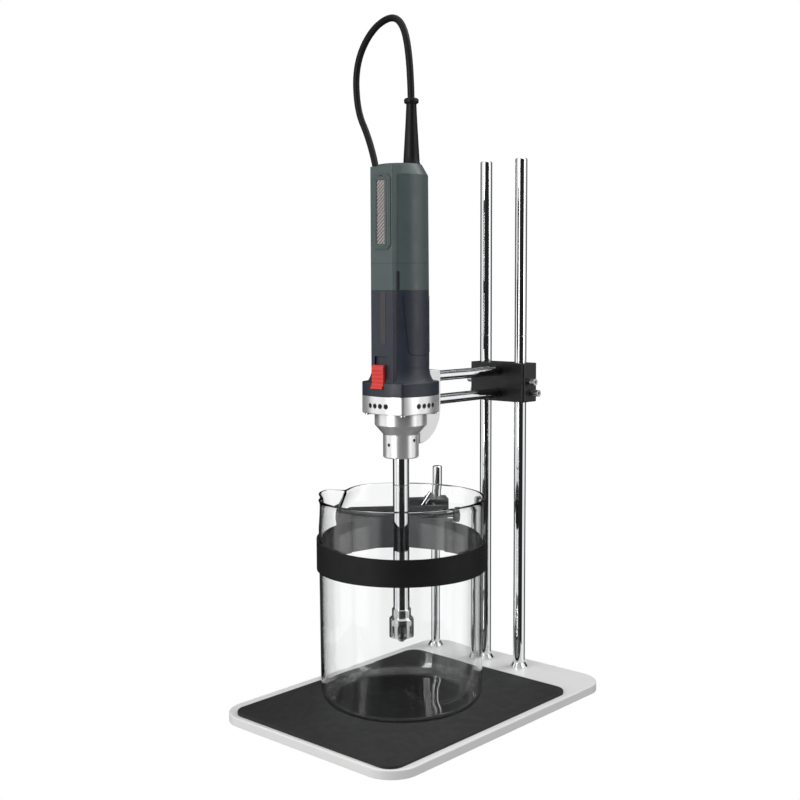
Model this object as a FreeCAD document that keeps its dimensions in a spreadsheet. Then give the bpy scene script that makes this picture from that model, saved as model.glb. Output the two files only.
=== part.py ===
import FreeCAD, Part
import Sketcher
import math
import os
import re

# High shear mixer. Millimetres; the origin is under the middle of the base plate, Z is up,
# the two tall rods stand at +Y and the motor hangs over the front part of the plate.
os.makedirs("parts", exist_ok=True)
doc = FreeCAD.newDocument("HighShearMixer")
V = FreeCAD.Vector
UP = V(0, 0, 1)

# Driving dimensions, one cell each.
SIZES = {
    "foot_out": 2.0, "pad_inset": 6.0, "pad_round": 22.0,
    "plate_wide": 222.0, "plate_long": 316.0, "plate_thick": 8.0, "plate_round": 28.0,
    "mat_wide": 200.0, "mat_long": 254.0, "mat_thick": 3.0, "mat_round": 14.0,
    "mat_x": 4.0, "mat_y": -26.0,
    "rod_r": 6.0, "rod_x": 22.0, "rod_y": 131.0, "rod_joint": 351.6, "rod_top": 527.5,
    "stud_r": 3.0, "stud_long": 14.0,
    "short_r": 5.0, "short_in": 23.0, "short_top": 208.5,
    "cuff_low_r": 8.8, "cuff_high_r": 6.6, "cuff_tall": 5.0,
    "bolt_r": 3.0, "bolt_head_r": 5.6, "bolt_long": 22.0, "bolt_head": 3.0,
    "axis_y": -25.0,
    "glass_r": 77.2, "glass_foot_r": 75.8, "glass_wall": 2.4, "glass_tall": 193.3,
    "glass_round": 13.0, "rim_out": 1.4, "lip_out": 11.0,
    "block_wide": 68.0, "block_front": 120.0, "block_back": 143.5,
    "block_low": 285.0, "block_high": 324.0,
    "arm_r": 5.0, "arm_upper_z": 315.7, "arm_lower_z": 293.2, "arm_start": 11.0, "arm_end": 140.0,
    "fin_half": 8.0, "fin_back": 48.0, "fin_front": 31.9, "fin_top": 322.5,
    "fin_arc_r": 31.6, "fin_arc_z": 286.0, "bracket_screw_z": 304.5, "bracket_low_z": 280.5,
    "ring_half": 25.5, "ring_bulge": 31.8, "ring_cut": 1.3,
    "ring_low": 285.0, "ring_split": 301.3, "ring_rise": 12.7, "ring_bore": 25.5,
    "vent_r": 2.35, "vent_z": 292.7, "vent_step": 6.4,
    "screw_ring": 22.3, "corner_screw": 21.6,
    "neck_r": 24.3, "neck_low": 273.8, "sleeve_r": 16.6, "sleeve_high": 264.8,
    "set_left": 12.7, "set_right": 16.8,
    "sleeve_low": 243.0, "tube_r": 7.6, "tube_bore": 6.2, "tube_low": 90.0, "tube_high": 262.0,
    "head_r": 11.5, "head_wall": 1.3, "head_low": 73.5, "head_roof": 87.0, "head_cap": 92.0,
    "slot_wide": 2.6, "slot_low": 75.5, "slot_high": 85.0,
    "blade_r": 9.9, "blade_low": 74.5, "blade_high": 85.8, "blade_thick": 2.4,
    "shaft_r": 3.2, "shaft_low": 68.5, "shaft_high": 309.0,
    "case_r": 26.6, "case_top_r": 25.7, "case_bore": 22.6, "case_split": 397.5,
    "case_top": 510.8, "flare_z": 328.0, "flare_r": 30.6,
    "keel_half": 12.0, "keel_right": 15.5, "keel_face": 27.2, "keel_high": 508.0,
    "frame_half": 11.2, "frame_x": 2.2, "insert_x": 2.0,
    "frame_low": 433.8, "frame_high": 500.9, "frame_out": 0.9,
    "insert_half": 4.8, "insert_low": 438.5, "insert_high": 495.5, "insert_deep": 1.8,
    "switch_half": 7.0, "switch_low": 308.4, "switch_high": 330.0, "switch_out": 31.6,
    "switch_seat": 25.0, "switch_play": 7.0,
    "motor_shaft_r": 4.0, "motor_shaft_low": 314.0, "motor_shaft_high": 494.0,
    "core_low": 402.0, "core_high": 448.0, "core_r": 14.6, "field_in": 15.4,
    "comm_r": 9.0, "comm_low": 456.0, "comm_high": 468.0,
    "seat_r": 11.0, "seat_tall": 7.0, "low_seat_z": 334.0, "high_seat_z": 484.0,
    "fan_r": 20.0, "fan_low": 350.0, "fan_high": 360.0,
    "relief_y": 16.0, "relief_low_r": 6.9, "relief_high_r": 4.6, "relief_long": 61.7,
    "rib_first": 9.0, "rib_pitch": 7.0,
    "cord_r": 3.25, "hank_fold": 20.0, "hank_run": 60.0,
    "hank_x": -30.9, "hank_y": 9.1, "hank_z": 414.0, "hank_turn": 42.1,
    "tie_wide": 49.9, "tie_deep": 29.4, "tie_thick": 1.4, "tie_tall": 10.0, "tie_z": 397.0,
    "plug_x": -38.8, "plug_y": 39.5, "plug_z": 386.5, "plug_r": 13.0, "plug_low": 22.0,
    "pin_r": 2.2, "pin_apart": 8.2, "pin_long": 19.0,
    "jaw_angle": 138.7, "jaw_low": 140.0, "jaw_high": 172.0, "jaw_dist": 77.8,
    "jaw_left": 42.0, "jaw_right": 58.0, "jaw_thick": 6.0,
    "jaw_flat": 20.0, "bar_in": 98.1,
    "bar_low": 159.0, "bar_high": 178.0, "bar_left": 58.0, "bar_right": 60.0, "bar_thick": 6.0,
    "boss_low": 150.0, "boss_high": 174.4, "boss_half": 12.0, "link_r": 5.0, "link_y": -52.5, "link_z": 166.0,
    "pinch_y": -35.7, "pinch_rise": 10.0, "lever_in": 22.0, "handle_half": 27.0, "knob_z": 168.0,
    "strap_in": 77.5, "strap_thick": 1.55, "strap_low": 139.3, "strap_high": 171.6,
    "strap_from": 33.4, "strap_to": 41.0,
}
sheet = doc.addObject("Spreadsheet::Sheet", "Sizes")
for row, (name, number) in enumerate(SIZES.items(), start=1):
    sheet.set(f"A{row}", name)
    sheet.set(f"B{row}", repr(number))
    sheet.setAlias(f"B{row}", name)
doc.recompute()

nodes = []


def full(expression):
    """The expression with each size name written as a cell of the sheet."""
    return re.sub(
        r"[a-z][a-z_]+",
        lambda found: "Sizes." + found.group(0) if found.group(0) in SIZES else found.group(0),
        str(expression),
    )


def num(expression):
    return float(sheet.evalExpression(full(expression)))


def bind(thing, path, expression):
    if re.search(r"[a-z]", str(expression)):
        thing.setExpression(path, full(expression))


def keep(thing, label):
    """Names the object as a sub-part that is handed in."""
    thing.Label = label
    nodes.append(thing)
    return thing


def put(thing, x=0, y=0, z=0, turn=None):
    """Sets a placement whose position follows the sheet."""
    spin = turn or FreeCAD.Rotation()
    thing.Placement = FreeCAD.Placement(V(num(x), num(y), num(z)), spin)
    for axis, value in zip("xyz", (x, y, z)):
        bind(thing, f"Placement.Base.{axis}", value)
    return thing


TO_X = FreeCAD.Rotation(V(0, 1, 0), 90)
TO_Y = FreeCAD.Rotation(V(1, 0, 0), -90)


def cylinder(radius, tall, x=0, y=0, z=0, turn=None):
    made = doc.addObject("Part::Cylinder", "Round")
    made.Radius = num(radius)
    made.Height = num(tall)
    bind(made, "Radius", radius)
    bind(made, "Height", tall)
    return put(made, x, y, z, turn)


def cone(low, high, tall, x=0, y=0, z=0, turn=None):
    made = doc.addObject("Part::Cone", "Taper")
    made.Radius1 = num(low)
    made.Radius2 = num(high)
    made.Height = num(tall)
    bind(made, "Radius1", low)
    bind(made, "Radius2", high)
    bind(made, "Height", tall)
    return put(made, x, y, z, turn)


def block(wide, long, tall, x=0, y=0, z=0, turn=None):
    """A box from its lowest corner."""
    made = doc.addObject("Part::Box", "Brick")
    made.Length = num(wide)
    made.Width = num(long)
    made.Height = num(tall)
    bind(made, "Length", wide)
    bind(made, "Width", long)
    bind(made, "Height", tall)
    return put(made, x, y, z, turn)


def hexagon(across, tall, x=0, y=0, z=0, turn=None):
    made = doc.addObject("Part::Prism", "Hex")
    made.Polygon = 6
    made.Circumradius = num(across) / math.sqrt(3)
    made.Height = num(tall)
    bind(made, "Height", tall)
    return put(made, x, y, z, turn)


def fuse(*parts):
    made = doc.addObject("Part::MultiFuse", "Joined")
    made.Shapes = list(parts)
    return made


def cut(base, *tools):
    made = doc.addObject("Part::Cut", "Bored")
    made.Base = base
    made.Tool = tools[0] if len(tools) == 1 else fuse(*tools)
    return made


def group(*parts):
    made = doc.addObject("Part::Compound", "Set")
    made.Links = list(parts)
    return made


def body(label, x=0, y=0, z=0, turn=None):
    return keep(put(doc.addObject("PartDesign::Body", "Body"), x, y, z, turn), label)


def sketch(owner, role, offset=None):
    made = owner.newObject("Sketcher::SketchObject", "Sketch")
    plane = [f for f in owner.Origin.OriginFeatures if f.Role == role][0]
    made.AttachmentSupport = [(plane, "")]
    made.MapMode = "FlatFace"
    if offset is not None:
        made.AttachmentOffset = FreeCAD.Placement(V(0, 0, num(offset)), FreeCAD.Rotation())
        bind(made, "AttachmentOffset.Base.z", offset)
    return made


def fix(made, kind, value, *where):
    index = made.addConstraint(Sketcher.Constraint(kind, *where, num(value)))
    bind(made, f"Constraints[{index}]", value)


def outline(made, start, steps):
    """A closed outline of lines (x, y) and arcs (mid x, mid y, x, y); sizes drive its corners."""
    here = V(num(start[0]), num(start[1]), 0)
    if V(num(steps[-1][-2]), num(steps[-1][-1]), 0).sub(here).Length > 1e-6:
        steps = list(steps) + [tuple(start)]
    corner = start
    ends = []
    for step in steps:
        there = V(num(step[-2]), num(step[-1]), 0)
        if len(step) == 2:
            geo = made.addGeometry(Part.LineSegment(here, there), False)
        else:
            middle = V(num(step[0]), num(step[1]), 0)
            geo = made.addGeometry(Part.Arc(here, middle, there), False)
        first = 1 if made.getPoint(geo, 1).sub(here).Length < 1e-6 else 2
        ends.append((geo, first, 3 - first, corner))
        if len(step) == 4:
            made.addConstraint(Sketcher.Constraint("Radius", geo, made.Geometry[geo].Radius))
        here = there
        corner = (step[-2], step[-1])
    for n, (geo, first, last, corner) in enumerate(ends):
        after = ends[(n + 1) % len(ends)]
        made.addConstraint(Sketcher.Constraint("Coincident", geo, last, after[0], after[1]))
        fix(made, "DistanceX", corner[0], -1, 1, geo, first)
        fix(made, "DistanceY", corner[1], -1, 1, geo, first)
    return made


def circle(made, x, y, radius):
    at = V(num(x), num(y), 0)
    geo = made.addGeometry(Part.Circle(at, UP, num(radius)), False)
    fix(made, "DistanceX", x, -1, 1, geo, 3)
    fix(made, "DistanceY", y, -1, 1, geo, 3)
    fix(made, "Radius", radius, geo)
    return made


def pad(owner, profile, length, midplane=False):
    made = owner.newObject("PartDesign::Pad", "Pad")
    made.Profile = profile
    made.Length = num(length)
    bind(made, "Length", length)
    made.Midplane = midplane
    owner.Tip = made
    return made


def pocket(owner, profile, length, back=False, midplane=False):
    if "Invalid" in owner.Tip.State:
        raise SystemExit(f"{owner.Label}: {owner.Tip.Name} failed")
    made = owner.newObject("PartDesign::Pocket", "Pocket")
    made.Profile = profile
    made.Length = num(length)
    bind(made, "Length", length)
    made.Reversed = back
    made.Midplane = midplane
    owner.Tip = made
    doc.recompute()
    before = made.BaseFeature.Shape.Volume
    if made.Shape.Volume >= before - 0.5:
        raise SystemExit(f"{owner.Label}: a pocket removes nothing")
    return made


def revolve(owner, profile):
    made = owner.newObject("PartDesign::Revolution", "Turned")
    made.Profile = profile
    made.ReferenceAxis = (profile, ["V_Axis"])
    made.Angle = 360
    owner.Tip = made
    return made


def groove(owner, profile):
    """Turns a hollow about the upright axis and checks that it removes something."""
    made = owner.newObject("PartDesign::Groove", "Groove")
    made.Profile = profile
    made.ReferenceAxis = (profile, ["V_Axis"])
    made.Angle = 360
    owner.Tip = made
    doc.recompute()
    if made.Shape.Volume >= made.BaseFeature.Shape.Volume - 0.5:
        raise SystemExit(f"{owner.Label}: a groove removes nothing")
    return made


def ring_pattern(owner, feature, count):
    made = owner.newObject("PartDesign::PolarPattern", "Around")
    made.Originals = [feature]
    made.Axis = ([f for f in owner.Origin.OriginFeatures if f.Role == "Z_Axis"][0], [""])
    made.Angle = 360
    made.Occurrences = count
    owner.Tip = made
    return made


def soften(owner, size, chosen, kind="Fillet"):
    """Rounds or bevels the edges of the body's last feature that the test picks."""
    doc.recompute()
    last = owner.Tip
    names = [f"Edge{i}" for i, e in enumerate(last.Shape.Edges, start=1) if chosen(e)]
    if not names:
        raise SystemExit(f"{owner.Label}: no edge to soften")
    made = owner.newObject("PartDesign::" + kind, kind)
    made.Base = (last, names)
    if kind == "Fillet":
        made.Radius = size
    else:
        made.Size = size
    owner.Tip = made
    doc.recompute()
    if not made.Shape.isValid() or made.Shape.isNull():
        raise SystemExit(f"{owner.Label}: its {kind} failed")
    return made


def turned(label, start, steps, x=0, y="axis_y", z=0):
    owner = body(label, x, y, z)
    revolve(owner, outline(sketch(owner, "XZ_Plane"), start, steps))
    return owner


def level(edge, height):
    return all(abs(v.Point.z - height) < 1e-4 for v in edge.Vertexes)


def rounded(made, wide, long, radius, x="0", y="0"):
    """A rectangle with rounded corners about (x, y)."""
    w, d, r = f"({wide})/2", f"({long})/2", f"({radius})"
    k = "0.292893"

    def at(sx, sy, ix=False, iy=False):
        inner_x = f"-{r}" if ix else ""
        inner_y = f"-{r}" if iy else ""
        return (f"{x}+{sx}*({w}{inner_x})", f"{y}+{sy}*({d}{inner_y})")

    def bend(sx, sy):
        return (f"{x}+{sx}*({w}-{k}*{r})", f"{y}+{sy}*({d}-{k}*{r})")

    return outline(
        made,
        at(-1, -1, ix=True),
        [
            at(1, -1, ix=True),
            bend(1, -1) + at(1, -1, iy=True),
            at(1, 1, iy=True),
            bend(1, 1) + at(1, 1, ix=True),
            at(-1, 1, ix=True),
            bend(-1, 1) + at(-1, 1, iy=True),
            at(-1, -1, iy=True),
            bend(-1, -1) + at(-1, -1, ix=True),
        ],
    )


TOP = "(foot_out+plate_thick)"
SHORT_X = "(short_in-plate_wide/2)"
RING_TOP = "(ring_split+ring_rise)"
RELIEF_TOP = "(case_top+relief_long)"
RODS = [("-rod_x", "rod_y"), ("rod_x", "rod_y"), (SHORT_X, "rod_y")]

# The base plate, with countersunk holes for the rod bolts, and the pad under it.
plate = body("base_plate")
pad(plate, rounded(sketch(plate, "XY_Plane", "foot_out"), "plate_wide", "plate_long", "plate_round"),
    "plate_thick")
for hole_x, hole_y in RODS:
    pocket(plate, circle(sketch(plate, "XY_Plane", TOP), hole_x, hole_y, "bolt_r+0.15"), "plate_thick")
    pocket(plate, circle(sketch(plate, "XY_Plane", "foot_out"), hole_x, hole_y, "bolt_head_r+0.4"),
           "bolt_head+0.4", back=True)
soften(plate, 1.0, lambda e: level(e, num(TOP)) and e.Length > 20)

under = body("base_pad")
inner = rounded(sketch(under, "XY_Plane"), "plate_wide-2*pad_inset", "plate_long-2*pad_inset", "pad_round")
pad(under, inner, "foot_out")

mat = body("base_mat")
pad(mat, rounded(sketch(mat, "XY_Plane", TOP), "mat_wide", "mat_long", "mat_round", "mat_x", "mat_y"),
    "mat_thick")
soften(mat, 1.0, lambda e: level(e, num(TOP + "+mat_thick")))

# The rods: two tall ones in two lengths, joined by a stud, and a short one.
for side, label in ((-1, "left"), (1, "right")):
    x = f"{side}*rod_x"
    lower = body(f"rod_{label}_lower", x, "rod_y")
    revolve(lower, outline(
        sketch(lower, "XZ_Plane"), ("bolt_r+0.1", TOP),
        [("rod_r", TOP), ("rod_r", "rod_joint-0.5"), ("rod_r-0.5", "rod_joint"),
         ("stud_r+0.1", "rod_joint"), ("stud_r+0.1", "rod_joint-stud_long-1"),
         (0, "rod_joint-stud_long-1"), (0, TOP + "+bolt_long"), ("bolt_r+0.1", TOP + "+bolt_long")]))
    upper = body(f"rod_{label}_upper", x, "rod_y")
    revolve(upper, outline(
        sketch(upper, "XZ_Plane"), (0, "rod_joint-stud_long"),
        [("stud_r", "rod_joint-stud_long"), ("stud_r", "rod_joint"), ("rod_r-0.5", "rod_joint"),
         ("rod_r", "rod_joint+0.5"), ("rod_r", "rod_top-0.8"), ("rod_r-0.8", "rod_top"),
         (0, "rod_top")]))
short = body("rod_short", SHORT_X, "rod_y")
revolve(short, outline(
    sketch(short, "XZ_Plane"), ("bolt_r+0.1", TOP),
    [("short_r", TOP), ("short_r", "short_top-0.8"), ("short_r-0.8", "short_top"),
     (0, "short_top"), (0, TOP + "+bolt_long"), ("bolt_r+0.1", TOP + "+bolt_long")]))

cuffs = []
bolts = []
for n, (x, y) in enumerate(RODS):
    inside = "short_r" if n == 2 else "rod_r"
    cuffs.append(cut(
        fuse(cylinder("cuff_low_r", "1.6", x, y, TOP),
             cone("cuff_low_r", "cuff_high_r", "cuff_tall-1.6", x, y, TOP + "+1.6")),
        cylinder(inside + "+0.05", "cuff_tall+1", x, y, TOP + "-0.5")))
    bolts.append(cut(
        fuse(cylinder("bolt_head_r", "bolt_head", x, y, "foot_out+0.3"),
             cylinder("bolt_r", "bolt_long+plate_thick-2", x, y, "foot_out+0.3")),
        hexagon("4", "1.8", x, y, "foot_out+0.2")))
keep(group(*cuffs), "rod_foot_cuffs")
keep(group(*bolts), "rod_bolts")

# The beaker: straight wall with a rolled rim, a rounded foot and a pressed spout towards -X.
GLASS = "(" + TOP + "+mat_thick)"
RIM = "(" + GLASS + "+glass_tall)"
beaker = turned("beaker", (0, GLASS), [
    ("glass_foot_r-glass_round", GLASS),
    ("glass_foot_r-0.292893*glass_round", GLASS + "+0.292893*glass_round",
     "glass_foot_r", GLASS + "+glass_round"),
    ("glass_r", RIM + "-8"), ("glass_r+0.5", RIM + "-3"), ("glass_r+rim_out", RIM + "-0.9"),
    ("glass_r+rim_out-0.3", RIM + "-0.2"), ("glass_r+rim_out-0.9", RIM), ("glass_r-0.4", RIM + "-0.2"),
    ("glass_r-glass_wall+0.7", RIM + "-3"), ("glass_r-glass_wall", RIM + "-8"),
    ("glass_foot_r-glass_wall", GLASS + "+glass_round"),
    ("glass_foot_r-glass_wall-0.292893*(glass_round-glass_wall)",
     GLASS + "+glass_wall+1+0.292893*(glass_round-glass_wall-1)",
     "glass_foot_r-glass_round", GLASS + "+glass_wall+1"),
    (0, GLASS + "+glass_wall+1"),
])


def spout(kind, low_z, high_z, low, high):
    """A three-sided taper that grows upwards to the pouring lip."""
    made = beaker.newObject("PartDesign::" + kind, "Spout")
    faces = []
    for height, (inner, half, tip) in ((low_z, low), (high_z, high)):
        faces.append(outline(sketch(beaker, "XY_Plane", height), (f"-({inner})", f"-({half})"), [
            (f"-({inner})", half), (f"-({tip})", 0)]))
    made.Profile = faces[0]
    made.Sections = [faces[1]]
    beaker.Tip = made
    doc.recompute()
    if "Invalid" in made.State:
        raise SystemExit("beaker: the spout failed")


spout("AdditiveLoft", RIM + "-17", RIM, ("glass_r-2.2", 2, "glass_r+0.1"),
      ("glass_r-6", "27", "glass_r+lip_out"))
spout("SubtractiveLoft", RIM + "-15.5", RIM + "+1.5", ("glass_r-6", 1, "glass_r-2.2"),
      ("glass_r-9", "27", "glass_r+lip_out-2.2"))

# The clamp block on the tall rods, its four screws and the two arms.
clamp = body("clamp_block")
face = sketch(clamp, "XY_Plane", "block_low")
rounded(face, "block_wide", "block_back-block_front", "3", "0", "(block_back+block_front)/2")
circle(face, "-rod_x", "rod_y", "rod_r+0.05")
circle(face, "rod_x", "rod_y", "rod_r+0.05")
pad(clamp, face, "block_high-block_low")
for height in ("arm_upper_z", "arm_lower_z"):
    pocket(clamp, circle(sketch(clamp, "XZ_Plane", "-block_front"), 0, height, "arm_r+0.05"),
           "arm_end-block_front+0.2")
    pocket(clamp, circle(sketch(clamp, "XZ_Plane", "-block_back"), 0, height, "2.1"), "4", back=True)
for side in (-1, 1):
    for lift, back in ((20.7, -2.2), (9.2, 3.6)):
        bore = sketch(clamp, "YZ_Plane", f"{side}*block_wide/2")
        circle(bore, f"rod_y+{back}", f"block_low+{lift - 0.2}", "2.1")
        pocket(clamp, bore, "block_wide/2-rod_x-rod_r+0.6", back=side < 0)
soften(clamp, 0.8, lambda e: (level(e, num("block_low")) or level(e, num("block_high")))
       and max(abs(e.CenterOfMass.x), abs(e.CenterOfMass.y - num("rod_y"))) > 10
       and not (e.Curve.TypeId == "Part::GeomCircle" and e.Curve.Radius > 5))

screws = []
for side in (-1, 1):
    for lift, back in ((20.5, -2.2), (9.0, 3.6)):
        y, z = f"rod_y+{back}", f"block_low+{lift}"
        tip = "rod_x+rod_r+0.3"
        if side > 0:
            stem = cylinder("2", "block_wide/2+3-rod_x-rod_r-0.3", tip, y, z, TO_X)
            head = cylinder("3.4", "5.5", "block_wide/2+3", y, z, TO_X)
            hollow = hexagon("3", "2.5", "block_wide/2+6.2", y, z, TO_X)
        else:
            stem = cylinder("2", "block_wide/2+3-rod_x-rod_r-0.3", "-block_wide/2-3", y, z, TO_X)
            head = cylinder("3.4", "5.5", "-block_wide/2-8.5", y, z, TO_X)
            hollow = hexagon("3", "2.5", "-block_wide/2-8.7", y, z, TO_X)
        screws.append(cut(fuse(stem, head), hollow))
keep(group(*screws), "rod_clamp_screws")

for label, height in (("arm_upper", "arm_upper_z"), ("arm_lower", "arm_lower_z")):
    bar = body(label, 0, 0, height)
    pad(bar, circle(sketch(bar, "XZ_Plane", "-arm_end"), 0, 0, "arm_r"), "arm_end-arm_start")
    doc.recompute()
    soften(bar, 0.5, lambda e: e.Curve.TypeId == "Part::GeomCircle", "Chamfer")

# The fin that carries the motor: flat sides, a quarter-round lower back corner and two arm holes.
fin = body("motor_bracket", 0, "axis_y")
K = 0.7071068
profile = sketch(fin, "YZ_Plane")
outline(profile, ("fin_front", "fin_top"), [
    ("fin_front", "ring_low-0.05"),
    ("neck_r+0.05", "ring_low-0.05"),
    ("neck_r+0.05", "neck_low"),
    ("sleeve_r+0.9", "sleeve_high+0.2"),
    ("sleeve_r+0.9", "fin_arc_z-fin_arc_r"),
    (f"fin_back-fin_arc_r+{K}*fin_arc_r", f"fin_arc_z-{K}*fin_arc_r", "fin_back", "fin_arc_z"),
    ("fin_back", "fin_top-4"),
    ("fin_back-1.17157", "fin_top-1.17157", "fin_back-4", "fin_top"),
])
pad(fin, profile, "2*fin_half", midplane=True)
for height in ("arm_upper_z", "arm_lower_z"):
    pocket(fin, circle(sketch(fin, "XZ_Plane", "-fin_back"), 0, height, "arm_r+0.05"),
           "fin_back+axis_y-arm_start+0.2", back=True)
    grub = sketch(fin, "YZ_Plane", "-fin_half")
    circle(grub, "fin_back-8", height, "2.1")
    pocket(fin, grub, "fin_half-arm_r+0.5", back=True)
pocket(fin, circle(sketch(fin, "XZ_Plane", "-fin_front+1"), 0, "bracket_screw_z", "1.7"), "11")
pocket(fin, circle(sketch(fin, "XZ_Plane", "-neck_r+1"), 0, "bracket_low_z", "1.7"), "13")
soften(fin, 0.7, lambda e: abs(abs(e.CenterOfMass.x) - num("fin_half")) < 1e-4
       and e.Length > 8 and e.CenterOfMass.y > 12 + num("axis_y") + 20, "Chamfer")

grubs = []
for height in ("arm_upper_z", "arm_lower_z"):
    grubs.append(cut(
        cylinder("2", "2.6", "-fin_half+0.3", "axis_y+fin_back-8", height, TO_X),
        hexagon("2", "1.6", "-fin_half+0.2", "axis_y+fin_back-8", height, TO_X)))
    grubs.append(cut(
        cylinder("2", "3", 0, "block_back-3.4", height, TO_Y),
        hexagon("2.5", "2", 0, "block_back-2.3", height, TO_Y)))
keep(group(*grubs), "arm_grub_screws")

bracket_screws = []
for start, height in (("axis_y+ring_bulge-6.4", "bracket_screw_z"), ("axis_y+neck_r-4.4", "bracket_low_z")):
    bracket_screws.append(cut(
        fuse(cylinder("1.65", "14", 0, start, height, TO_Y),
             cylinder("2.9", "2.2", 0, start + "-2.2", height, TO_Y)),
        hexagon("2.5", "1.2", 0, start + "-2.3", height, TO_Y)))
keep(group(*bracket_screws), "bracket_screws")


def cushion(made, bore=None):
    """A square outline with bulged sides and cut corners, about the motor axis."""
    h, c, b = "ring_half", "ring_cut", "ring_bulge"
    outline(made, (f"-{h}+{c}", f"-{h}-0.4*{c}"), [
        (0, f"-{b}", f"{h}-{c}", f"-{h}-0.4*{c}"), (f"{h}+0.4*{c}", f"-{h}+{c}"),
        (b, 0, f"{h}+0.4*{c}", f"{h}-{c}"), (f"{h}-{c}", f"{h}+0.4*{c}"),
        (0, b, f"-{h}+{c}", f"{h}+0.4*{c}"), (f"-{h}-0.4*{c}", f"{h}-{c}"),
        (f"-{b}", 0, f"-{h}-0.4*{c}", f"-{h}+{c}"), (f"-{h}+{c}", f"-{h}-0.4*{c}"),
    ])
    if bore:
        circle(made, 0, 0, bore)
    return made


# The aluminium ring under the motor: bulged square, bored, with four vents in each open side.
ring = body("ring_flange", 0, "axis_y")
pad(ring, cushion(sketch(ring, "XY_Plane", "ring_low"), "neck_r-4"), "ring_split-ring_low")
pocket(ring, circle(sketch(ring, "XY_Plane", "ring_split"), 0, 0, "ring_bore"), "ring_split-ring_low-3")
soften(ring, 0.9, lambda e: level(e, num("ring_low"))
       and not (e.Curve.TypeId == "Part::GeomCircle" and e.Curve.Radius < 30))
for role, offset, back in (("XZ_Plane", "ring_bulge+1", False), ("YZ_Plane", "ring_bulge+1", False),
                           ("YZ_Plane", "-ring_bulge-1", True)):
    vents = sketch(ring, role, offset)
    for step in (-1.5, -0.5, 0.5, 1.5):
        circle(vents, f"{step}*vent_step", "vent_z", "vent_r")
    pocket(ring, vents, "12", back=back)
for side in (-1, 1):
    for end in (-1, 1):
        hole = sketch(ring, "XY_Plane", "ring_split")
        pocket(ring, circle(hole, f"{side}*corner_screw", f"{end}*corner_screw", "1.6"),
               "ring_split-ring_low")
for n in range(4):
    angle = math.radians(45 + 90 * n)
    at = (f"screw_ring*{math.cos(angle):.4f}", f"screw_ring*{math.sin(angle):.4f}")
    pocket(ring, circle(sketch(ring, "XY_Plane", "ring_low+3"), *at, "1.3"), "3")

collar = turned("collar", ("tube_r+0.05", "sleeve_low"), [
    ("sleeve_r-1", "sleeve_low"), ("sleeve_r", "sleeve_low+1"), ("sleeve_r", "sleeve_high"),
    ("neck_r", "neck_low"), ("neck_r", "ring_low"), ("neck_r-4", "ring_low"),
    ("neck_r-4", "ring_low-12"), ("8.05", "ring_low-14.9"), ("8.05", "tube_high+2"),
    ("5", "tube_high+2"), ("5", "tube_high+0.2"), ("tube_r+0.05", "tube_high+0.2")])
for n in range(4):
    angle = math.radians(45 + 90 * n)
    at = (f"screw_ring*{math.cos(angle):.4f}", f"screw_ring*{math.sin(angle):.4f}")
    pocket(collar, circle(sketch(collar, "XY_Plane", "ring_low"), *at, "1.05"), "7")
pocket(collar, circle(sketch(collar, "XZ_Plane", "-neck_r-1"), 0, "bracket_low_z", "1.75"), "9", back=True)
for role, lift in (("YZ_Plane", "set_right"), ("XZ_Plane", "set_left")):
    side = sketch(collar, role, "sleeve_r+1")
    circle(side, 0, "sleeve_low+" + lift, "1.6")
    pocket(collar, side, "sleeve_r+1-tube_r+0.5")

set_screws = [
    cut(cylinder("1.5", "sleeve_r-tube_r-0.8", "tube_r+0.2", "axis_y", "sleeve_low+set_right", TO_X),
        hexagon("1.7", "1.4", "sleeve_r-1.9", "axis_y", "sleeve_low+set_right", TO_X)),
    cut(cylinder("1.5", "sleeve_r-tube_r-0.8", 0, "axis_y-sleeve_r+0.4", "sleeve_low+set_left", TO_Y),
        hexagon("1.7", "1.4", 0, "axis_y-sleeve_r+0.3", "sleeve_low+set_left", TO_Y)),
]
keep(group(*set_screws), "collar_set_screws")

collar_screws = []
housing_screws = []
for n in range(4):
    angle = math.radians(45 + 90 * n)
    x, y = f"screw_ring*{math.cos(angle):.4f}", f"axis_y+screw_ring*{math.sin(angle):.4f}"
    collar_screws.append(cut(
        fuse(cylinder("1", "9", x, y, "ring_low-6"), cylinder("1.9", "1.8", x, y, "ring_low+3")),
        hexagon("1.5", "1", x, y, "ring_low+4")))
for side in (-1, 1):
    for end in (-1, 1):
        x, y = f"{side}*corner_screw", f"axis_y+{end}*corner_screw"
        housing_screws.append(cut(
            fuse(cylinder("1.5", "23.2", x, y, "ring_low-0.1"), cylinder("2.7", "1.8", x, y, "ring_low-1.8")),
            hexagon("2", "1.2", x, y, "ring_low-1.9")))
keep(group(*collar_screws), "collar_screws")
keep(group(*housing_screws), "housing_screws")

# The long tube and the slotted stator at its end, open downwards.
turned("shaft_tube", ("tube_bore", "tube_low"), [
    ("tube_r", "tube_low"), ("tube_r", "tube_high"), ("tube_bore", "tube_high")])
head = turned("stator_head", ("head_r-head_wall", "head_low"), [
    ("head_r", "head_low"), ("head_r", "head_cap-1.5"), ("head_r-1.5", "head_cap"),
    ("tube_r+1.4", "head_cap"), ("tube_r+1.4", "head_cap+7.5"), ("tube_r+0.9", "head_cap+8"),
    ("tube_r+0.03", "head_cap+8"), ("tube_r+0.03", "tube_low"), ("shaft_r+0.8", "tube_low"),
    ("shaft_r+0.8", "head_roof"), ("head_r-head_wall", "head_roof")])
slot = sketch(head, "XZ_Plane", "head_r-head_wall-1")
outline(slot, ("-slot_wide/2", "slot_low"), [
    ("slot_wide/2", "slot_low"), ("slot_wide/2", "slot_high"), ("-slot_wide/2", "slot_high")])
ring_pattern(head, pocket(head, slot, "4", back=True), 12)

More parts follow.
